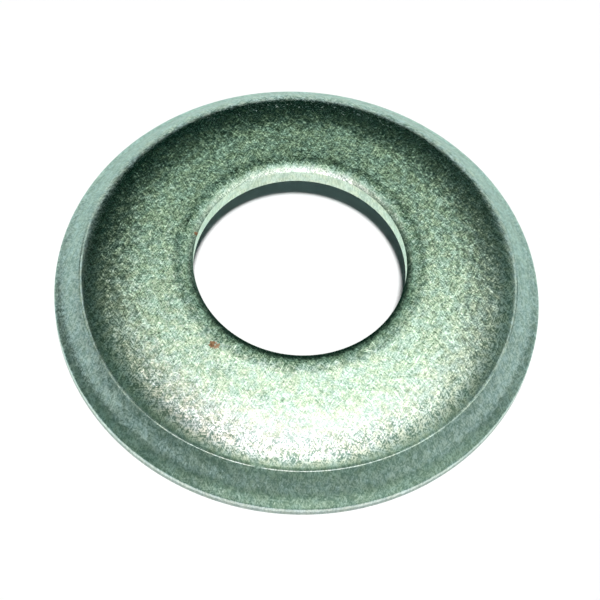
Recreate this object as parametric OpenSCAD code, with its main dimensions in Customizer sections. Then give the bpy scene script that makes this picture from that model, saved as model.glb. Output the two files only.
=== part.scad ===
// Conical washer: one steel sheet pressed into a low cone with a round shoulder and a steep skirt,
// pierced by a clear bore. Millimetres. The rim stands on z = 0, the bore runs along +Z, the crown is on top.

/* [Washer] */
// Diameter over the trimmed rim
outer_d = 30; // [28:0.1:32]
// Diameter of the bore, clear of a 12 mm bolt
bore_d = 13; // [12.2:0.1:14]
// Thickness of the sheet
sheet_t = 1.25; // [1:0.05:1.4]
// Width of the bevel round the bore's top edge, in plan
bore_bevel_w = 0.48; // [0.3:0.02:0.6]
// Slope of that bevel, down into the bore
bore_bevel_slope = 31; // [20:1:40]

/* [Skirt] */
// Height of the upright land that the trim leaves round the rim
rim_land_h = 0.7; // [0.4:0.05:0.9]
// Width of the skirt in plan, from the rim in to the crease
skirt_w = 1.6; // [1.2:0.05:2]
// Slope of the skirt, up from the floor
skirt_slope = 51; // [49:0.5:56]

/* [Crown] */
// Slope at which the shoulder meets the skirt; what is left of the turn is the crease
crease_slope = 44; // [40:0.5:46]
// Radius of the shoulder in section
shoulder_r = 3.4; // [2.6:0.1:4]
// Slope at which the dome gives way to the shoulder
dome_slope = 22; // [18:0.5:26]
// Radius of the dome in section
dome_r = 10; // [8:0.1:11]
// Slope of the low cone between the bore and the dome
cone_slope = 6; // [3:0.5:8]

/* [Hidden] */
$fn = 128;
outer_r = outer_d / 2;
bore_r = bore_d / 2;
// Spare length that carries a cutting shape past the metal
spare = 1;
// Hair by which a curve stands past its smooth join, so that the two cross cleanly
hair = 0.0002;

// Point at a slope on an arc about centre c: slope 0 is its top
function on_arc(c, r, slope) = c + r * [sin(slope), cos(slope)];

// The section is worked from the rim inward: crease, shoulder, dome, cone, bevel
crease = [outer_r - skirt_w, rim_land_h + skirt_w * tan(skirt_slope)];
shoulder_c = on_arc(crease, -shoulder_r, crease_slope);
dome_c = on_arc(shoulder_c, shoulder_r - dome_r, dome_slope);
cone_foot = on_arc(dome_c, dome_r, cone_slope);
bevel_x = bore_r + bore_bevel_w;
height = cone_foot.y + (cone_foot.x - bevel_x) * tan(cone_slope);

// Everything from x to x_end, from under the floor to over the crown
module strip(x, x_end) {
    translate([x, -spare]) square([x_end - x, height + 2 * spare]);
}

// Everything under a straight slope that passes through point p; a slope falls outward, a negative one inward
module under_line(p, slope) {
    far_x = outer_r + 2 * spare;
    polygon([
        [0, -height],
        [far_x, -height],
        [far_x, p.y - (far_x - p.x) * tan(slope)],
        [0, p.y + p.x * tan(slope)]
    ]);
}

// Half section of all that lies under a skin, inset below the outer one.
// Each limit holds only over its own stretch; shoulder and skirt cross at the crease, which stays sharp.
module under_skin(inset) {
    dome_top = on_arc(dome_c, dome_r - inset, cone_slope);
    dome_end = on_arc(dome_c, dome_r - inset, dome_slope);
    bend = on_arc(shoulder_c, shoulder_r - inset, skirt_slope);
    intersection() {
        under_line(dome_top, cone_slope);
        union() {
            strip(0, dome_top.x);
            translate(dome_c) circle(r = dome_r - inset + hair);
        }
        union() {
            strip(0, dome_end.x);
            translate(shoulder_c) circle(r = shoulder_r - inset + 2 * hair);
            strip(bend.x, outer_r + spare);
        }
        under_line([outer_r, rim_land_h] - inset * [sin(skirt_slope), cos(skirt_slope)], skirt_slope);
    }
}

// Half section of the sheet: the same skin twice, one thickness apart, trimmed to the bore, rim and floor
module sheet_section() {
    difference() {
        intersection() {
            under_skin(0);
            under_line([bevel_x, height], -bore_bevel_slope);
            translate([bore_r, 0]) square([outer_r - bore_r, height + spare]);
        }
        under_skin(sheet_t);
    }
}

module washer() {
    color([0.52, 0.56, 0.52]) rotate_extrude() sheet_section();
}

washer();
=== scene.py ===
"""Conical washer: a pressed and tumbled steel sheet on a pale floor, dressed for a studio picture."""
import logging
import math
from dataclasses import dataclass, field
from enum import Enum
from typing import Optional

import bpy
import numpy as np
from mathutils import Matrix, Vector


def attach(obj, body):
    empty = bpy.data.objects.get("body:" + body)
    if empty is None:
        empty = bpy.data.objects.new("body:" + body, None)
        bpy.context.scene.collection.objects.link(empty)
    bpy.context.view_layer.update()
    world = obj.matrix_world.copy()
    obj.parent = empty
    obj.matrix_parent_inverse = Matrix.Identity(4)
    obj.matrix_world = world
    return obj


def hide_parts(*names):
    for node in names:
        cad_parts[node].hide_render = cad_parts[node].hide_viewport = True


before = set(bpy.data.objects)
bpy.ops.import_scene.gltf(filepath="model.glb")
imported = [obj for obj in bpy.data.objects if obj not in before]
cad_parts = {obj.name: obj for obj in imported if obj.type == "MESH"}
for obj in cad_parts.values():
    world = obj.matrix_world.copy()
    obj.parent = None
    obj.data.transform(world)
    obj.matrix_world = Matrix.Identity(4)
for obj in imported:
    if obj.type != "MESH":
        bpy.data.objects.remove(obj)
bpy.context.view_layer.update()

MM = 0.001
LOG = logging.getLogger("conical_washer")
Socket = bpy.types.NodeSocket
Colour = tuple[float, float, float]
# Even places along a curve of unit width, at which its slope is added up
FINE = np.linspace(0.0, 1.0, 401)


class Zone(Enum):
    """Stretches of the washer's section, each with a finish of its own."""

    CROWN = 0
    SKIRT = 1
    BORE_WALL = 2
    UNDERSIDE = 3
    BEVEL = 4
    RIM = 5


Run = tuple[np.ndarray, Zone]


def ease(share: np.ndarray) -> np.ndarray:
    """Bends a straight rise from 0 to 1 into an S curve, held at both ends."""
    held = np.clip(share, 0.0, 1.0)
    return held ** 2 * (3.0 - 2.0 * held)


class Bench:
    """Adds and wires nodes in one material or world tree."""

    def __init__(self, tree: bpy.types.NodeTree) -> None:
        """Takes an empty tree to work in.

        Args:
            tree: the node tree that receives the nodes.
        """
        self.tree = tree

    def add(
            self, kind: str, inputs: Optional[dict[object, object]] = None, **settings: object,
    ) -> bpy.types.Node:
        """Adds a node, sets its properties and fills its inputs.

        Args:
            kind: the node's type name in Blender.
            inputs: values or sockets by input name or by input number.
            settings: properties of the node itself.

        Returns:
            The new node.
        """
        node = self.tree.nodes.new(kind)
        for name, value in settings.items():
            setattr(node, name, value)
        for name, value in (inputs or {}).items():
            self.put(node.inputs[name], value)
        return node

    def put(self, socket: Socket, value: object) -> None:
        """Links a socket to an input, or sets the input's own value.

        Args:
            socket: the input.
            value: an output socket to link, or a plain value.
        """
        if isinstance(value, bpy.types.NodeSocket):
            self.tree.links.new(value, socket)
        elif isinstance(value, tuple) and len(value) == 3 and socket.type == "RGBA":
            socket.default_value = (*value, 1.0)
        else:
            socket.default_value = value

    def math(self, operation: str, a: object, b: object = 0.0, c: object = 0.0) -> Socket:
        """Adds a math node.

        Args:
            operation: the operation's name in Blender.
            a: first value or socket.
            b: second value or socket.
            c: third value or socket.

        Returns:
            The result.
        """
        return self.add("ShaderNodeMath", {0: a, 1: b, 2: c}, operation=operation).outputs[0]

    def vector(self, operation: str, a: object, b: object = (0.0, 0.0, 0.0), scale: object = 1.0) -> Socket:
        """Adds a vector math node.

        Args:
            operation: the operation's name in Blender.
            a: first vector or socket.
            b: second vector or socket.
            scale: the factor that SCALE uses.

        Returns:
            The result, a number for DOT_PRODUCT, LENGTH and DISTANCE.
        """
        node = self.add("ShaderNodeVectorMath", {0: a, 1: b}, operation=operation)
        if operation == "SCALE":
            self.put(node.inputs["Scale"], scale)
        return node.outputs["Value" if operation in ("DOT_PRODUCT", "LENGTH", "DISTANCE") else "Vector"]

    def ramp(
            self, value: object, low: float, high: float, out_low: float = 0.0, out_high: float = 1.0,
    ) -> Socket:
        """Maps a stretch of a value smoothly onto another, and holds it at both ends.

        Args:
            value: the value or socket to map.
            low: start of the stretch.
            high: end of the stretch.
            out_low: result at the start.
            out_high: result at the end.

        Returns:
            The mapped value.
        """
        node = self.add("ShaderNodeMapRange", {
            "Value": value, "From Min": low, "From Max": high, "To Min": out_low, "To Max": out_high,
        }, interpolation_type="SMOOTHSTEP")
        return node.outputs["Result"]

    def blend(self, factor: object, first: object, second: object) -> Socket:
        """Mixes two colours.

        Args:
            factor: share of the second colour.
            first: first colour or socket.
            second: second colour or socket.

        Returns:
            The mixed colour.
        """
        # The colour sockets share their names with others of this node, so they go by number
        node = self.add("ShaderNodeMix", data_type="RGBA")
        self.put(node.inputs["Factor"], factor)
        self.put(node.inputs[6], first)
        self.put(node.inputs[7], second)
        return node.outputs[2]

    def noise(self, where: Socket, size: float, detail: float = 2.0) -> bpy.types.Node:
        """Adds a noise texture whose marks are about one size across.

        Args:
            where: position.
            size: size of a mark, in the position's unit.
            detail: octaves of finer marks.

        Returns:
            The noise node.
        """
        return self.add("ShaderNodeTexNoise", {"Vector": where, "Scale": 1.0 / size, "Detail": detail})

    def patches(self, where: Socket, size_mm: float, detail: float = 2.0) -> Socket:
        """Strength of uneven patches about one size across, which vary about 0.5."""
        return self.noise(where, size_mm * MM, detail).outputs["Fac"]

    def between(self, patches: Socket, low: float, high: float, spread: float = 0.2) -> Socket:
        """Value that goes from one limit to the other in uneven patches.

        Args:
            patches: strength of the patches.
            low: value in a weak patch.
            high: value in a strong patch.
            spread: how far from 0.5 the limits are reached.

        Returns:
            The value.
        """
        return self.ramp(patches, 0.5 - spread, 0.5 + spread, low, high)

    def stretched(
            self, where: Socket, aim: float, size: tuple[float, float], shift: tuple[float, float],
    ) -> Socket:
        """Position in which a pattern of unit size comes out long and thin.

        Args:
            where: position in metres.
            aim: direction that the marks run in, in radians.
            size: length and width of a mark in millimetres.
            shift: place of the pattern's origin in millimetres.

        Returns:
            The position for the pattern.
        """
        length, width = size
        return self.add("ShaderNodeMapping", {
            "Vector": where, "Location": (shift[0] * MM, shift[1] * MM, 0.0), "Rotation": (0.0, 0.0, aim),
            "Scale": (length * MM, width * MM, length * MM),
        }, vector_type="TEXTURE").outputs["Vector"]

    def flat(self, where: Socket) -> Socket:
        """Position in plan."""
        return self.vector("MULTIPLY", where, (1.0, 1.0, 0.0))

    def reach(self, where: Socket) -> Socket:
        """Distance from the axis."""
        return self.vector("LENGTH", self.flat(where))


@dataclass(frozen=True)
class Fade:
    """Smooth change of a value along the washer's radius.

    Attributes:
        start: radius where the change starts, in millimetres.
        end: radius where it ends, in millimetres.
        first: value inside the start.
        last: value outside the end.
    """

    start: float
    end: float
    first: float
    last: float

    def at(self, bench: Bench, reach: Socket) -> Socket:
        """Value at each distance from the axis."""
        return bench.ramp(reach, self.start * MM, self.end * MM, self.first, self.last)


@dataclass(frozen=True)
class Stain:
    """Small stain on the metal, such as a rust speck.

    Attributes:
        place: centre in plan, in millimetres.
        radius: size in millimetres.
        colour: colour of the stain.
        bite: size of the bites in its edge, in millimetres.
        bite_depth: depth of those bites, as a share of the radius.
        core: share of the radius up to which the stain is full.
        rim: share of the radius at which it ends.
        dull: how much rougher the stain is than the metal.
    """

    place: tuple[float, float]
    radius: float
    colour: Colour
    bite: float = 0.16
    bite_depth: float = 2.2
    core: float = 0.55
    rim: float = 1.15
    dull: float = 0.4

    def cover(self, bench: Bench, where: Socket) -> Socket:
        """Share of the stain at each place, ragged at its edge.

        Args:
            bench: where nodes are added.
            where: position in metres.

        Returns:
            The share, 0 to 1.
        """
        size = self.radius * MM
        ragged = bench.math("SUBTRACT", bench.patches(where, self.bite), 0.5)
        centre = (self.place[0] * MM, self.place[1] * MM, 0.0)
        away = bench.vector("DISTANCE", bench.flat(where), centre)
        uneven = bench.math("MULTIPLY_ADD", ragged, self.bite_depth * size, away)
        return bench.ramp(uneven, self.core * size, self.rim * size, 1.0, 0.0)


@dataclass(frozen=True)
class Needles:
    """Grain of short needles that cross in several directions; the strongest light and dark ones show.

    Attributes:
        size: length and width of a needle in millimetres.
        ways: number of directions that the needles run in.
        sway: how far every second direction is turned, as a share of the step between two.
        shift: offset from one direction's pattern to the next, in millimetres.
        full: strength at which a needle is fully light or dark.
    """

    size: tuple[float, float] = (0.42, 0.075)
    ways: int = 5
    sway: float = 0.3
    shift: tuple[float, float] = (31.0, 17.0)
    full: float = 0.12

    def lay(self, bench: Bench, where: Socket) -> tuple[Socket, Socket]:
        """Lays the needles over each other.

        Args:
            bench: where nodes are added.
            where: position in metres.

        Returns:
            The needles' shade from -0.5 to 0.5, and a vector that turns the surface.
        """
        high: Optional[Socket] = None
        low: Optional[Socket] = None
        for way in range(self.ways):
            aim = math.pi * (way + self.sway * (way % 2)) / self.ways
            along = bench.stretched(where, aim, self.size, (self.shift[0] * way, self.shift[1] * way))
            layer = bench.noise(along, 1.0, 1.0).outputs["Color"]
            high = layer if high is None else bench.vector("MAXIMUM", high, layer)
            low = layer if low is None else bench.vector("MINIMUM", low, layer)
        both = bench.vector("SUBTRACT", bench.vector("ADD", high, low), (1.0, 1.0, 1.0))
        split = bench.add("ShaderNodeSeparateXYZ", {0: both}).outputs
        turn = bench.add("ShaderNodeCombineXYZ", {"X": split["Y"], "Y": split["Z"]}).outputs[0]
        return bench.ramp(split["X"], -self.full, self.full, -0.5, 0.5), turn


@dataclass(frozen=True)
class Clouds:
    """Faint clouds of darker and lighter, warmer and cooler metal.

    Attributes:
        hue: how far the clouds turn the metal warmer and cooler.
        size: size of a dark or light cloud in millimetres.
        dark: light left in a dark cloud.
        light: light of a bright cloud.
        hue_size: size of a warm or cool cloud in millimetres.
        hue_spread: strength either side of the middle at which a cloud is fully warm or cool.
        warm: change of red, green and blue in a warm cloud, at full hue.
        cool: change of red, green and blue in a cool cloud, at full hue.
    """

    hue: float = 0.35
    size: float = 1.3
    dark: float = 0.92
    light: float = 1.04
    hue_size: float = 0.55
    hue_spread: float = 0.15
    warm: Colour = (0.07, 0.01, -0.09)
    cool: Colour = (-0.06, 0.0, 0.1)

    def level(self, bench: Bench, where: Socket) -> Socket:
        """Factor of the dark and light clouds."""
        return bench.between(bench.patches(where, self.size, 3.0), self.dark, self.light)

    def hues(self, bench: Bench, where: Socket) -> Socket:
        """Colour factor of the warm and cool clouds.

        Args:
            bench: where nodes are added.
            where: position in metres.

        Returns:
            The factors of red, green and blue.
        """
        warm, cool = (tuple(1.0 + self.hue * k for k in change) for change in (self.warm, self.cool))
        side = bench.between(bench.patches(where, self.hue_size, 3.0), 0.0, 1.0, self.hue_spread)
        return bench.blend(side, warm, cool)


@dataclass(frozen=True)
class BoreRing:
    """Darker ring about the bore.

    Attributes:
        dark: how far the ring is darker.
        radius: radius of its middle in millimetres.
        full: half width of its even part in millimetres.
        gone: half width at which it ends, in millimetres.
        tone: weight of the darkening in red, green and blue.
    """

    dark: float
    radius: float = 7.33
    full: float = 0.3
    gone: float = 0.75
    tone: Colour = (1.1, 1.0, 1.02)

    def over(self, bench: Bench, metal: Socket, reach: Socket) -> Socket:
        """Lays the ring over the metal.

        Args:
            bench: where nodes are added.
            metal: colour of the metal.
            reach: distance from the axis in metres.

        Returns:
            The colour with the ring.
        """
        off = bench.math("ABSOLUTE", bench.math("SUBTRACT", reach, self.radius * MM))
        darker = bench.vector("MULTIPLY", metal, tuple(1.0 - self.dark * k for k in self.tone))
        return bench.blend(bench.ramp(off, self.full * MM, self.gone * MM, 1.0, 0.0), metal, darker)


@dataclass(frozen=True)
class TornEdgeAndFootShade:
    """Darker lower part of a sheared edge: a torn, duller stretch, with painted shade where the edge meets
    the floor.

    Attributes:
        height: height under which the edge is darker, in millimetres.
        light: light left there.
        bite: size of the bites in its upper line, in millimetres.
        bite_depth: depth of those bites in millimetres.
        soft: half width over which the line blurs, in millimetres.
    """

    height: float
    light: float = 0.52
    bite: float = 0.22
    bite_depth: float = 0.3
    soft: float = 0.05

    def level(self, bench: Bench, where: Socket) -> Socket:
        """Factor of the darker lower part, painted shade included.

        Args:
            bench: where nodes are added.
            where: position in metres.

        Returns:
            The factor, 1 above the line.
        """
        height = bench.add("ShaderNodeSeparateXYZ", {0: where}).outputs["Z"]
        bites = bench.patches(where, self.bite, 3.0)
        ragged = bench.math("MULTIPLY_ADD", bites, self.bite_depth * MM, height)
        line = self.height + self.bite_depth / 2
        return bench.ramp(ragged, (line - self.soft) * MM, (line + self.soft) * MM, self.light, 1.0)


@dataclass(frozen=True)
class Scratches:
    """A few long thin scratches, far apart.

    Attributes:
        strength: cover of the strongest scratch.
        gain: how much brighter than the metal a scratch is.
        size: length and width of a scratch in millimetres.
        aims: directions that the scratches run in, in radians.
        shift: place of the pattern in millimetres, the first one times the direction.
        faint: pattern's strength where a scratch starts to show.
        full: pattern's strength where it shows in full.
    """

    strength: float
    gain: float = 1.7
    size: tuple[float, float] = (1.1, 0.085)
    aims: tuple[float, ...] = (0.35, 1.2, 2.4)
    shift: tuple[float, float] = (70.0, 50.0)
    faint: float = 0.74
    full: float = 0.84

    def cover(self, bench: Bench, where: Socket) -> Socket:
        """Share of the scratches at each place.

        Args:
            bench: where nodes are added.
            where: position in metres.

        Returns:
            The share, 0 to 1.
        """
        strongest: object = 0.0
        for aim in self.aims:
            along = bench.stretched(where, aim, self.size, (self.shift[0] * aim, self.shift[1]))
            layer = bench.noise(along, 1.0, 0.0).outputs["Fac"]
            cover = bench.ramp(layer, self.faint, self.full, 0.0, self.strength)
            strongest = bench.math("MAXIMUM", strongest, cover)
        return strongest


@dataclass(frozen=True)
class DrawnLines:
    """Fine lines that the press drew down the slope.

    Attributes:
        tilt: how far the lines turn the surface.
        radius: radius that the lines stand on, in millimetres.
        width: width of a line in millimetres.
        length: length of a line in millimetres.
    """

    tilt: float
    radius: float = 13.5
    width: float = 0.1
    length: float = 0.9

    def turn(self, bench: Bench, where: Socket) -> Socket:
        """Vector that turns the surface.

        Args:
            bench: where nodes are added.
            where: position in metres.

        Returns:
            The vector.
        """
        outward = bench.vector("NORMALIZE", bench.flat(where))
        across = bench.vector("SCALE", outward, scale=self.radius / self.width)
        place = bench.vector("ADD", across, bench.vector("SCALE", where, scale=1.0 / (self.length * MM)))
        sway = bench.vector("SUBTRACT", bench.noise(place, 1.0).outputs["Color"], (0.5, 0.5, 0.5))
        return bench.vector("SCALE", sway, scale=self.tilt)


@dataclass(frozen=True)
class SteelFinish:
    """Bare steel with a worked surface.

    Attributes:
        name: the material's name.
        colour: reflectance of the clean metal.
        roughness: gloss of the metal between its marks.
        tilt: how far a needle turns the surface.
        shade: how far a needle lightens or darkens the metal.
        needles: the grain.
        clouds: the faint clouds.
        dark_tone: weight of a dark needle in red, green and blue.
        light_tone: weight of a light needle in red, green and blue.
        edge_tint: colour of the metal seen at a glancing angle.
        gloss_size: size of a duller or glossier patch in millimetres.
        gloss_range: share by which such a patch is duller or glossier.
        waver: how far a ring or a worn edge wavers, in millimetres.
        waver_size: size of that waver's bends in millimetres.
        deep: strength of the needles' shade along the radius; the strongest of these holds.
        calm: what is left of that strength along the radius.
        steady: what is left of the needles' tilt along the radius.
        dull: added roughness along the radius.
        rim_wear: brightness along the radius.
        ring: darker ring about the bore.
        torn_and_foot_shade: darker lower part of a sheared edge, painted shade along the floor included.
        scratches: long scratches.
        drawn: lines down the slope.
        stains: small stains.
    """

    name: str
    colour: Colour
    roughness: float
    tilt: float
    shade: float = 0.25
    needles: Needles = Needles()
    clouds: Clouds = Clouds()
    dark_tone: Colour = (1.18, 0.95, 1.04)
    light_tone: Colour = (1.1, 0.95, 1.04)
    edge_tint: Colour = (0.84, 1.0, 0.93)
    gloss_size: float = 0.35
    gloss_range: float = 0.12
    waver: float = 0.3
    waver_size: float = 0.5
    deep: tuple[Fade, ...] = ()
    calm: Optional[Fade] = None
    steady: Optional[Fade] = None
    dull: Optional[Fade] = None
    rim_wear: Optional[Fade] = None
    ring: Optional[BoreRing] = None
    torn_and_foot_shade: Optional[TornEdgeAndFootShade] = None
    scratches: Optional[Scratches] = None
    drawn: Optional[DrawnLines] = None
    stains: tuple[Stain, ...] = ()

    def material(self) -> bpy.types.Material:
        """Builds the finish as a node material.

        Returns:
            The material.
        """
        made = bpy.data.materials.new(self.name)
        made.use_nodes = True
        made.node_tree.nodes.clear()
        bench = Bench(made.node_tree)
        where = bench.add("ShaderNodeTexCoord").outputs["Object"]
        reach = bench.reach(where)
        mark, turn = self.needles.lay(bench, where)
        steel = bench.add("ShaderNodeBsdfPrincipled", {
            "Metallic": 1.0,
            "Specular Tint": self.edge_tint,
            "Base Color": self.tint(bench, where, reach, mark),
            "Roughness": self.gloss(bench, where, reach),
            "Normal": self.relief(bench, where, reach, turn),
        })
        bench.add("ShaderNodeOutputMaterial", {"Surface": steel.outputs["BSDF"]})
        return made

    def grain(self, bench: Bench, reach: Socket, mark: Socket) -> Socket:
        """Metal with its light and dark needles.

        Args:
            bench: where nodes are added.
            reach: distance from the axis in metres.
            mark: shade of the needles, -0.5 to 0.5.

        Returns:
            The colour.
        """
        dark = tuple(c * (1.0 - self.shade * k) for c, k in zip(self.colour, self.dark_tone))
        light = tuple(c * (1.0 + self.shade * k) for c, k in zip(self.colour, self.light_tone))
        if self.deep:
            strength: object = 0.0
            for fade in self.deep:
                strength = bench.math("MAXIMUM", strength, fade.at(bench, reach))
            mark = bench.math("MULTIPLY", mark, strength)
        if self.calm:
            mark = bench.math("MULTIPLY", mark, self.calm.at(bench, reach))
        return bench.blend(bench.math("ADD", mark, 0.5), dark, light)

    def tint(self, bench: Bench, where: Socket, reach: Socket, mark: Socket) -> Socket:
        """Steel colour with its needles, clouds, wear, scratches and stains.

        Args:
            bench: where nodes are added.
            where: position in metres.
            reach: distance from the axis in metres.
            mark: shade of the needles, -0.5 to 0.5.

        Returns:
            The colour.
        """
        metal = self.grain(bench, reach, mark)
        level = self.clouds.level(bench, where)
        uneven = bench.math("MULTIPLY_ADD", bench.patches(where, self.waver_size), self.waver * MM, reach)
        if self.ring:
            metal = self.ring.over(bench, metal, uneven)
        if self.rim_wear:
            level = bench.math("MULTIPLY", level, self.rim_wear.at(bench, uneven))
        # Painted shade: the lower part of the edge is darkened where it meets the floor, together with its
        # torn, duller stretch.
        if self.torn_and_foot_shade:
            level = bench.math("MULTIPLY", level, self.torn_and_foot_shade.level(bench, where))
        metal = bench.vector("MULTIPLY", metal, self.clouds.hues(bench, where))
        metal = bench.vector("SCALE", metal, scale=level)
        if self.scratches:
            bright = tuple(min(1.0, c * self.scratches.gain) for c in self.colour)
            metal = bench.blend(self.scratches.cover(bench, where), metal, bright)
        for stain in self.stains:
            metal = bench.blend(stain.cover(bench, where), metal, stain.colour)
        return metal

    def gloss(self, bench: Bench, where: Socket, reach: Socket) -> Socket:
        """Roughness that varies from patch to patch.

        Args:
            bench: where nodes are added.
            where: position in metres.
            reach: distance from the axis in metres.

        Returns:
            The roughness.
        """
        low, high = (self.roughness * (1.0 + side * self.gloss_range) for side in (-1.0, 1.0))
        shine = bench.between(bench.patches(where, self.gloss_size), low, high)
        if self.dull:
            shine = bench.math("ADD", shine, self.dull.at(bench, reach))
        for stain in self.stains:
            shine = bench.math("MULTIPLY_ADD", stain.cover(bench, where), stain.dull, shine)
        return shine

    def relief(self, bench: Bench, where: Socket, reach: Socket, needle: Socket) -> Socket:
        """Surface direction, turned by needles and by drawn lines.

        Args:
            bench: where nodes are added.
            where: position in metres.
            reach: distance from the axis in metres.
            needle: vector of the needles.

        Returns:
            The normal.
        """
        turn = bench.vector("SCALE", needle, scale=self.tilt)
        if self.steady:
            turn = bench.vector("SCALE", turn, scale=self.steady.at(bench, reach))
        if self.drawn:
            turn = bench.vector("ADD", turn, self.drawn.turn(bench, where))
        normal = bench.add("ShaderNodeNewGeometry").outputs["Normal"]
        return bench.vector("NORMALIZE", bench.vector("ADD", normal, turn))


@dataclass(frozen=True)
class Steps:
    """Points along each stretch of the section, both ends counted, and steps round the axis.

    Attributes:
        wall: bore wall.
        bevel: bevel about the bore.
        cone: low cone.
        dome: dome.
        shoulder: shoulder.
        skirt: skirt.
        corner: worn corner of the rim.
        land: upright land of the rim.
        foot: round under the land.
        under_skirt: skirt's underside.
        under_arc: undersides of shoulder and dome, each.
        under_cone: cone's underside.
        turn: steps round the axis.
    """

    wall: int = 5
    bevel: int = 18
    cone: int = 20
    dome: int = 22
    shoulder: int = 14
    skirt: int = 16
    corner: int = 6
    land: int = 4
    foot: int = 4
    under_skirt: int = 4
    under_arc: int = 6
    under_cone: int = 3
    turn: int = 800


@dataclass(frozen=True)
class CreaseLip:
    """Shallow uneven step that the tool left along the crease.

    Attributes:
        depth: depth of the step in millimetres.
        top: place of its top, outward and up from the crease, in millimetres.
        foot: place of its foot, outward and up from the crease, in millimetres.
        worn_at: bearing about which it is worn away, in degrees.
        worn: angle either side of that bearing where nothing is left, in degrees.
        fade: angle over which it comes back, in degrees.
        even: share of the depth that is even.
        uneven: share of the depth that wavers.
        most: greatest share of the depth.
        waves: waves round the axis that make it uneven.
        wave: height of each of those waves.
        seed: start of the random draws that place those waves.
    """

    depth: float = 0.042
    top: tuple[float, float] = (-0.008, 0.001)
    foot: tuple[float, float] = (0.045, -0.053)
    worn_at: float = 92.0
    worn: float = 70.0
    fade: float = 28.0
    even: float = 0.85
    uneven: float = 0.3
    most: float = 1.2
    waves: tuple[int, ...] = (3, 5, 8, 13, 21, 34)
    wave: float = 0.25
    seed: int = 7

    def drop(self, angle: np.ndarray) -> np.ndarray:
        """Depth of the step round the axis.

        Args:
            angle: places round the axis in radians.

        Returns:
            The depth at each place in millimetres.
        """
        rng = np.random.default_rng(self.seed)
        waver = np.zeros_like(angle)
        for count in self.waves:
            waver += self.wave * np.sin(count * angle + rng.uniform(0.0, 2 * math.pi))
        off = np.abs((angle - math.radians(self.worn_at) + math.pi) % (2 * math.pi) - math.pi)
        left = ease((off - math.radians(self.worn)) / math.radians(self.fade))
        return self.depth * np.clip(left * (self.even + self.uneven * waver), 0.0, self.most)


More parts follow.
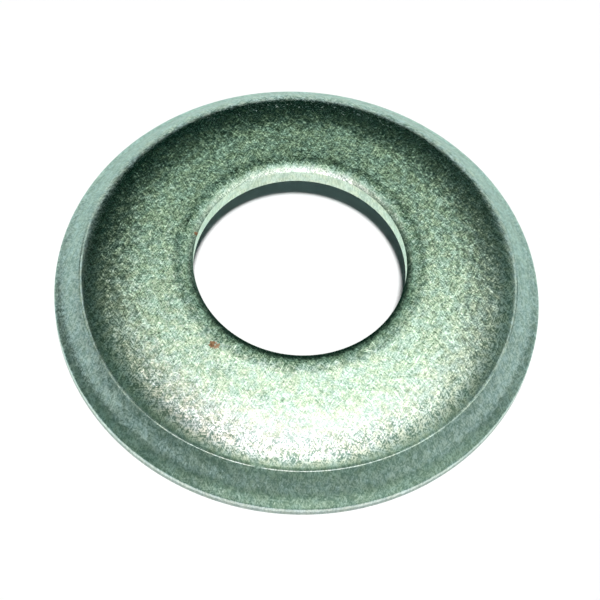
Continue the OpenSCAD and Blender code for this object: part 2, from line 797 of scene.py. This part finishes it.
@dataclass
class PressedWasher:
    """The washer: one sheet, turned from a half section that repeats the solid's sizes, in millimetres.

    Attributes:
        outer_r: radius over the rim.
        bore_r: radius of the bore.
        sheet_t: thickness of the sheet.
        bevel_w: width of the bevel round the bore, in plan, worn into a round.
        bevel_slope: slope of that bevel at the bore in degrees.
        bevel_even: share of the bevel's turn that is even over its width; the rest gathers at the bore.
        land_h: height of the upright land round the rim.
        corner_r: radius that wears the skirt into that land.
        corner_slope: slope in degrees at which that radius starts.
        foot_r: radius under that land.
        skirt_w: width of the skirt in plan.
        skirt_slope: slope of the skirt in degrees.
        skirt_top: slope in degrees at which the skirt's curve leaves the crease.
        skirt_bends: bends of that curve: degrees gained, start and length as shares of the width.
        crease_slope: slope of the shoulder at the crease.
        crease_worn: length of the shoulder that the worn crease takes.
        shoulder_r: radius of the shoulder.
        dome_slope: slope where the dome meets the shoulder.
        dome_r: radius of the dome.
        cone_slope: slope of the low cone about the bore.
        sharp_from: angle in degrees from which an edge of the mesh is sharp.
        lip: step along the crease.
        steps: fineness of the mesh.
        piece: the washer, once it is built.
    """

    outer_r: float = 15.0
    bore_r: float = 6.5
    sheet_t: float = 1.25
    bevel_w: float = 0.9
    bevel_slope: float = 34.0
    bevel_even: float = 0.3
    land_h: float = 0.7
    corner_r: float = 0.14
    corner_slope: float = 45.0
    foot_r: float = 0.12
    skirt_w: float = 1.6
    skirt_slope: float = 51.0
    skirt_top: float = 48.0
    skirt_bends: tuple[tuple[float, float, float], ...] = ((5.0, 0.05, 0.4), (-13.0, 0.48, 0.35))
    crease_slope: float = 44.0
    crease_worn: float = 0.125
    shoulder_r: float = 3.4
    dome_slope: float = 22.0
    dome_r: float = 10.0
    cone_slope: float = 6.0
    sharp_from: float = 20.0
    lip: CreaseLip = CreaseLip()
    steps: Steps = Steps()
    piece: Optional[bpy.types.Object] = field(default=None, init=False)

    @staticmethod
    def on_arc(centre: np.ndarray, radius: float, slope: float) -> np.ndarray:
        """Point at a slope on an arc of the section.

        Args:
            centre: the arc's centre.
            radius: the arc's radius.
            slope: slope in degrees; 0 is the top.

        Returns:
            The point.
        """
        a = math.radians(slope)
        return centre + radius * np.array([math.sin(a), math.cos(a)])

    def arc(self, centre: np.ndarray, radius: float, first: float, last: float, count: int) -> np.ndarray:
        """Points along an arc of the section.

        Args:
            centre: the arc's centre.
            radius: the arc's radius.
            first: slope at the start in degrees.
            last: slope at the end in degrees.
            count: number of points.

        Returns:
            The points, both ends included.
        """
        return np.array([self.on_arc(centre, radius, slope) for slope in np.linspace(first, last, count)])

    @staticmethod
    def height_along(slope: np.ndarray) -> np.ndarray:
        """Adds up a slope that changes along a curve of unit width.

        Args:
            slope: slope in degrees at the even places.

        Returns:
            The change of height up to each place.
        """
        step = np.tan(np.radians(slope[:-1] + slope[1:]) / 2) / (len(slope) - 1)
        return np.concatenate([[0.0], np.cumsum(step)])

    @property
    def crease(self) -> np.ndarray:
        """Point where the shoulder meets the skirt."""
        rise = self.skirt_w * math.tan(math.radians(self.skirt_slope))
        return np.array([self.outer_r - self.skirt_w, self.land_h + rise])

    @property
    def shoulder_c(self) -> np.ndarray:
        """Centre of the shoulder's arc."""
        return self.on_arc(self.crease, -self.shoulder_r, self.crease_slope)

    @property
    def dome_c(self) -> np.ndarray:
        """Centre of the dome's arc."""
        return self.on_arc(self.shoulder_c, self.shoulder_r - self.dome_r, self.dome_slope)

    def cone_point(self, x: float, inset: float = 0.0) -> np.ndarray:
        """Point on the low cone's line, or on the same line below the sheet.

        Args:
            x: distance from the axis.
            inset: depth of the line under the outer skin.

        Returns:
            The point.
        """
        foot = self.on_arc(self.dome_c, self.dome_r - inset, self.cone_slope)
        return np.array([x, foot[1] + (foot[0] - x) * math.tan(math.radians(self.cone_slope))])

    def bevel_curve(self) -> np.ndarray:
        """Bevel's line from the bore up to the cone: steep at the bore, worn round into the cone.

        Returns:
            The points, from the bore outward, both ends included.
        """
        top = self.cone_point(self.bore_r + self.bevel_w)
        turn = self.cone_slope + self.bevel_slope
        slope = self.cone_slope - turn * (self.bevel_even * FINE + (1.0 - self.bevel_even) * FINE ** 2)
        share = np.linspace(1.0, 0.0, self.steps.bevel)
        rise = np.interp(share, FINE, self.height_along(slope))
        return top + self.bevel_w * np.stack([-share, rise], -1)

    def skirt_curve(self, end: np.ndarray) -> np.ndarray:
        """Skirt's line from the crease to the rim: steepest at the middle, easing towards the rim.

        Args:
            end: where the skirt runs out at the rim's corner.

        Returns:
            The points, from the crease, both ends included.
        """
        slope = np.full_like(FINE, self.skirt_top)
        for gain, start, length in self.skirt_bends:
            slope += gain * ease((FINE - start) / length)
        drop = self.height_along(slope)
        share = np.linspace(0.0, 1.0, self.steps.skirt)
        down = np.interp(share, FINE, drop / drop[-1])
        return self.crease + (end - self.crease) * np.stack([share, down], -1)

    def crown_runs(self) -> list[Run]:
        """Stretches from the bore's foot up its wall and over the crown to the crease.

        Returns:
            Each stretch's points and zone.
        """
        steps = self.steps
        bevel = self.bevel_curve()
        wall = np.linspace(self.cone_point(self.bore_r, self.sheet_t), bevel[0], steps.wall)
        half = steps.bevel // 2
        dome = self.arc(self.dome_c, self.dome_r, self.cone_slope, self.dome_slope, steps.dome)
        last = self.crease_slope - math.degrees(self.crease_worn / self.shoulder_r)
        return [
            (wall[:-1], Zone.BORE_WALL),
            (bevel[:half], Zone.BEVEL),
            (bevel[half:-1], Zone.CROWN),
            (np.linspace(bevel[-1], dome[0], steps.cone)[:-1], Zone.CROWN),
            (dome[:-1], Zone.CROWN),
            (self.arc(self.shoulder_c, self.shoulder_r, self.dome_slope, last, steps.shoulder), Zone.CROWN),
        ]

    def skirt_runs(self) -> list[Run]:
        """Stretches from the crease down the skirt and the rim's land to the floor.

        Returns:
            Each stretch's points and zone; the first point is the top of the crease's lip.
        """
        steps = self.steps
        inset = self.corner_r * (1.0 - math.sin(math.radians(self.corner_slope)))
        rise = inset * math.tan(math.radians(self.skirt_slope))
        skirt_end = np.array([self.outer_r - inset, self.land_h + rise])
        corner_c = self.on_arc(skirt_end, -self.corner_r, self.corner_slope)
        corner = self.arc(corner_c, self.corner_r, self.corner_slope, 90.0, steps.corner)
        half = steps.corner // 2
        foot_c = np.array([self.outer_r - self.foot_r, self.foot_r])
        foot = self.arc(foot_c, self.foot_r, 90.0, 180.0, steps.foot)
        return [
            (self.crease + np.array([self.lip.top, self.lip.foot]), Zone.SKIRT),
            (self.skirt_curve(skirt_end)[1:-1], Zone.SKIRT),
            (corner[:half], Zone.SKIRT),
            (corner[half:-1], Zone.RIM),
            (np.linspace(corner[-1], foot[0], steps.land)[:-1], Zone.RIM),
            (foot, Zone.RIM),
        ]

    def under_runs(self) -> list[Run]:
        """Stretches of the underside, from the rim back to the bore's foot.

        Returns:
            Each stretch's points and zone.
        """
        steps = self.steps
        lean = math.radians(self.skirt_slope)
        inner_r = self.shoulder_r - self.sheet_t
        away = self.shoulder_r * math.cos(lean - math.radians(self.crease_slope)) - self.sheet_t
        along = math.sqrt(inner_r ** 2 - away ** 2)
        bend_slope = self.skirt_slope - math.degrees(math.asin(along / inner_r))
        bend = self.on_arc(self.shoulder_c, inner_r, bend_slope)
        rim = np.array([bend[0] + bend[1] / math.tan(lean), 0.0])
        shoulder = self.arc(self.shoulder_c, inner_r, bend_slope, self.dome_slope, steps.under_arc)
        dome_r = self.dome_r - self.sheet_t
        dome = self.arc(self.dome_c, dome_r, self.dome_slope, self.cone_slope, steps.under_arc)
        bore_low = self.cone_point(self.bore_r, self.sheet_t)
        return [
            (np.linspace(rim, bend, steps.under_skirt)[:-1], Zone.UNDERSIDE),
            (shoulder[1:-1], Zone.UNDERSIDE),
            (dome[:-1], Zone.UNDERSIDE),
            (np.linspace(dome[-1], bore_low, steps.under_cone)[:-1], Zone.UNDERSIDE),
        ]

    def build(self) -> bpy.types.Object:
        """Turns the section round the axis into one closed mesh.

        Returns:
            The washer.
        """
        runs = self.crown_runs() + self.skirt_runs() + self.under_runs()
        points = np.concatenate([run for run, _ in runs])
        zones = [zone for run, zone in runs for _ in run]
        rows, turns = len(points), self.steps.turn
        angle = np.linspace(0.0, 2 * math.pi, turns, endpoint=False)
        co = np.zeros((rows, turns, 3))
        co[..., 0] = points[:, 0, None] * np.cos(angle)
        co[..., 1] = points[:, 0, None] * np.sin(angle)
        co[..., 2] = points[:, 1, None]
        co[zones.index(Zone.SKIRT), :, 2] -= self.lip.drop(angle)
        row, turn = np.meshgrid(np.arange(rows), np.arange(turns), indexing="ij")
        here, above = row * turns, (row + 1) % rows * turns
        ahead = (turn + 1) % turns
        quads = np.stack([here + turn, here + ahead, above + ahead, above + turn], -1).reshape(-1, 4)
        mesh = bpy.data.meshes.new("washer_sheet")
        mesh.vertices.add(rows * turns)
        mesh.vertices.foreach_set("co", (co * MM).reshape(-1))
        mesh.loops.add(quads.size)
        mesh.loops.foreach_set("vertex_index", quads.reshape(-1).astype(np.int32))
        mesh.polygons.add(len(quads))
        mesh.polygons.foreach_set("loop_start", np.arange(0, quads.size, 4, dtype=np.int32))
        slots = np.repeat([zone.value for zone in zones], turns).astype(np.int32)
        mesh.polygons.foreach_set("material_index", slots)
        mesh.update(calc_edges=True)
        mesh.validate()
        mesh.shade_smooth()
        mesh.set_sharp_from_angle(angle=math.radians(self.sharp_from))
        self.piece = bpy.data.objects.new("washer_sheet", mesh)
        bpy.context.scene.collection.objects.link(self.piece)
        return self.piece

    @staticmethod
    def finishes() -> dict[Zone, SteelFinish]:
        """Chooses the finish of each zone.

        Returns:
            The finishes by zone.
        """
        rust, pale_rust = (0.3, 0.19, 0.11), (0.36, 0.26, 0.17)
        specks = (
            Stain((-4.74, -6.36), 0.22, rust),
            Stain((-4.46, -6.42), 0.19, pale_rust),
            Stain((-6.47, 1.25), 0.15, rust),
        )
        return {
            Zone.CROWN: SteelFinish(
                "tumbled_crown", (0.38, 0.50, 0.44), 0.16, tilt=0.66, shade=0.55, clouds=Clouds(0.62),
                deep=(Fade(7.4, 7.9, 0.85, 0.4), Fade(11.0, 12.6, 0.4, 1.0)),
                calm=Fade(12.95, 13.25, 1.0, 0.5), steady=Fade(11.9, 12.6, 1.0, 0.28),
                dull=Fade(12.3, 12.9, 0.0, 0.09),
                ring=BoreRing(0.44), scratches=Scratches(0.7), stains=specks),
            Zone.SKIRT: SteelFinish(
                "drawn_skirt", (0.32, 0.45, 0.405), 0.32, tilt=0.5, shade=0.28, drawn=DrawnLines(0.1),
                rim_wear=Fade(14.5, 14.95, 1.0, 1.2)),
            Zone.BORE_WALL: SteelFinish("sheared_wall", (0.61, 0.74, 0.6), 0.3, tilt=0.16, shade=0.15),
            Zone.UNDERSIDE: SteelFinish("plain_underside", (0.31, 0.48, 0.46), 0.32, tilt=0.5),
            Zone.BEVEL: SteelFinish(
                "worn_bevel", (0.46, 0.62, 0.55), 0.18, tilt=0.52, shade=0.26,
                ring=BoreRing(0.46), stains=specks),
            # The rim's land is darker below about 0.42 mm: painted shade along the floor, on a torn, duller
            # stretch of the cut.
            Zone.RIM: SteelFinish(
                "sheared_rim", (0.62, 0.69, 0.65), 0.3, tilt=0.2, shade=0.14, torn_and_foot_shade=TornEdgeAndFootShade(0.42)),
        }

    def dress(self) -> None:
        """Gives each zone its finish."""
        finishes = self.finishes()
        for zone in sorted(finishes, key=lambda z: z.value):
            self.piece.data.materials.append(finishes[zone].material())


@dataclass(frozen=True)
class Glow:
    """Soft patch of light in the surround.

    Attributes:
        tilt: angle of the patch from straight up, in degrees.
        bearing: direction of the patch in plan, in degrees from the right.
        focus: how tight the patch is.
        colour: light at its centre.
    """

    tilt: float
    bearing: float
    focus: float
    colour: Colour

    def light(self, bench: Bench, way: Socket) -> Socket:
        """Light of the patch in one direction.

        Args:
            bench: where nodes are added.
            way: direction looked in.

        Returns:
            The light's colour.
        """
        lean, turn = math.radians(self.tilt), math.radians(self.bearing)
        centre = (math.sin(lean) * math.cos(turn), math.sin(lean) * math.sin(turn), math.cos(lean))
        near = bench.math("SUBTRACT", bench.vector("DOT_PRODUCT", way, centre), 1.0)
        level = bench.math("EXPONENT", bench.math("MULTIPLY", near, self.focus))
        return bench.vector("SCALE", self.colour, scale=level)


@dataclass
class Studio:
    """Pale floor, soft light from above and a camera at the picture's angle.

    Attributes:
        distance: camera distance in millimetres.
        rise: camera height angle in degrees.
        roll: turn of the camera about its own axis in degrees.
        pixels: image size.
        centre: image pixel of the washer's centre.
        rim_px: half width of the rim in image pixels.
        rim_r: radius of the rim in millimetres.
        sensor: width of the camera's sensor in millimetres.
        near: nearest distance that the camera sees, in metres.
        far: farthest distance that the camera sees, in metres.
        floor_half: half width of the floor in metres.
        floor_white: colour of the floor.
        key_power: strength of the key lamp.
        key_size: width of the key lamp as an angle, in degrees.
        key_right: lean of the key lamp to the right, in degrees.
        key_front: lean of the key lamp to the front, in degrees.
        key_height: height of the key lamp in metres.
        dim: light that comes from everywhere.
        glows: patches of soft light in the surround.
    """

    distance: float = 150.0
    rise: float = 59.52
    roll: float = 5.41
    pixels: float = 600.0
    centre: tuple[float, float] = (296.95, 296.0)
    rim_px: float = 241.3
    rim_r: float = 15.0
    sensor: float = 36.0
    near: float = 0.01
    far: float = 10.0
    floor_half: float = 1.0
    floor_white: Colour = (0.93, 0.93, 0.93)
    key_power: float = 3.6
    key_size: float = 5.0
    key_right: float = 1.8
    key_front: float = 18.9
    key_height: float = 0.3
    dim: Colour = (0.003, 0.026, 0.018)
    glows: tuple[Glow, ...] = (
        Glow(0.0, 0.0, 14.0, (1.72, 1.27, 1.37)),  # overhead
        Glow(25.0, 20.0, 14.0, (1.24, 1.15, 1.01)),  # high, right
        Glow(25.0, 90.0, 14.0, (0.77, 0.97, 0.71)),  # high, back
        Glow(25.0, 160.0, 20.0, (0.51, 0.49, 0.39)),  # high, left
        Glow(25.0, 270.0, 14.0, (2.45, 1.72, 1.92)),  # high, front: the main light on the crown
        Glow(46.0, 330.0, 8.0, (0.6, 0.58, 0.54)),  # halfway up, front right
        Glow(50.0, 270.0, 8.0, (0.64, 0.78, 0.59)),  # halfway up, front
        Glow(50.0, 195.0, 8.0, (0.13, 0.175, 0.145)),  # halfway up, left
        Glow(78.0, 325.0, 8.0, (0.21, 0.28, 0.2)),  # low, front right
        Glow(78.0, 215.0, 8.0, (0.07, 0.1, 0.08)),  # low, front left
        Glow(75.0, 25.0, 10.0, (0.17, 0.22, 0.19)),  # low, back right
    )

    def build(self) -> None:
        """Makes the floor, the light and the camera."""
        self.floor()
        self.key_lamp()
        self.surround()
        self.camera()

    def floor(self) -> None:
        """Lays a wide white floor under the rim."""
        half = self.floor_half
        corners = [(-half, -half, 0), (half, -half, 0), (half, half, 0), (-half, half, 0)]
        mesh = bpy.data.meshes.new("floor")
        mesh.from_pydata(corners, [], [(0, 1, 2, 3)])
        ground = bpy.data.objects.new("floor", mesh)
        bpy.context.scene.collection.objects.link(ground)
        paint = bpy.data.materials.new("floor_white")
        paint.use_nodes = True
        paint.node_tree.nodes.clear()
        bench = Bench(paint.node_tree)
        chalk = bench.add("ShaderNodeBsdfDiffuse", {"Color": self.floor_white})
        bench.add("ShaderNodeOutputMaterial", {"Surface": chalk.outputs["BSDF"]})
        mesh.materials.append(paint)

    def key_lamp(self) -> None:
        """Hangs the key lamp, which lights the floor and draws the shadow's edge inside the bore."""
        lamp = bpy.data.lights.new("key_lamp", "SUN")
        lamp.energy = self.key_power
        lamp.angle = math.radians(self.key_size)
        holder = bpy.data.objects.new("key_lamp", lamp)
        right, front = math.tan(math.radians(self.key_right)), math.tan(math.radians(self.key_front))
        towards = Vector((right, -front, 1.0))
        holder.rotation_euler = towards.to_track_quat("Z", "Y").to_euler()
        holder.location = towards * self.key_height
        holder.visible_glossy = False
        bpy.context.scene.collection.objects.link(holder)

    def surround(self) -> None:
        """Lights the metal softly from overhead and from the front, and leaves the far horizon dark."""
        world = bpy.data.worlds.new("studio")
        bpy.context.scene.world = world
        world.use_nodes = True
        world.cycles_visibility.diffuse = False
        world.node_tree.nodes.clear()
        bench = Bench(world.node_tree)
        way = bench.vector("NORMALIZE", bench.add("ShaderNodeTexCoord").outputs["Generated"])
        total: object = self.dim
        for glow in self.glows:
            total = bench.vector("ADD", total, glow.light(bench, way))
        back = bench.add("ShaderNodeBackground", {"Color": total, "Strength": 1.0})
        bench.add("ShaderNodeOutputWorld", {"Surface": back.outputs["Background"]})

    def camera(self) -> None:
        """Sets the camera at the picture's angle and framing."""
        lens = bpy.data.cameras.new("camera")
        lens.sensor_width = self.sensor
        lens.lens = self.distance * self.rim_px / self.rim_r / self.pixels * self.sensor
        lens.shift_x = 0.5 - self.centre[0] / self.pixels
        lens.shift_y = self.centre[1] / self.pixels - 0.5
        lens.clip_start = self.near
        lens.clip_end = self.far
        holder = bpy.data.objects.new("camera", lens)
        rise = math.radians(self.rise)
        place = Vector((0.0, -math.cos(rise), math.sin(rise))) * self.distance * MM
        aim = place.to_track_quat("Z", "Y").to_matrix().to_4x4()
        roll = Matrix.Rotation(math.radians(self.roll), 4, "Z")
        holder.matrix_world = Matrix.Translation(place) @ aim @ roll
        bpy.context.scene.collection.objects.link(holder)
        bpy.context.scene.camera = holder


def main() -> None:
    """Builds the washer and its studio, and reports each piece."""
    logging.basicConfig(level=logging.INFO, format="%(name)s: %(message)s")
    bpy.context.scene.view_settings.view_transform = "Standard"
    washer = PressedWasher()
    piece = washer.build()
    washer.dress()
    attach(piece, "root")
    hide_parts("washer")
    LOG.info("%s: %d faces", piece.name, len(piece.data.polygons))
    Studio().build()
    LOG.info("studio: floor, key lamp, surround and camera")


if __name__ == "__main__":
    main()
